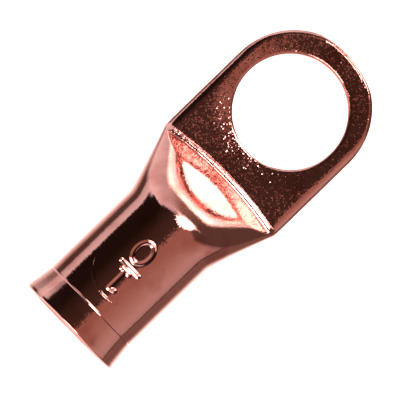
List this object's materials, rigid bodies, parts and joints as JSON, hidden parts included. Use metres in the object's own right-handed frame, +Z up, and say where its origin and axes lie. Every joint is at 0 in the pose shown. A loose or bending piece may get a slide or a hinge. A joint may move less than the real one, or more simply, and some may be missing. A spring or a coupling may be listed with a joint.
{
  "type": "cable lug",
  "caption": "Copper tube cable lug with a flared round barrel and a flat rounded palm that has a stud hole.",
  "frame": {"origin": "centre of the stud hole on the palm's underside, which is the face that seats on the terminal", "axes": "+X away from the barrel towards the palm's tip, +Y across the palm, +Z up out of the palm's top face, with the barrel's mouth facing -X"},
  "size_m": [0.0445, 0.0178, 0.0134],
  "materials": {
    "copper": "bright bare copper, drawn and pressed, with a very fine pebbled texture"
  },
  "bodies": {
    "root": {"cable_lug": "copper"}
  },
  "joints": []
}
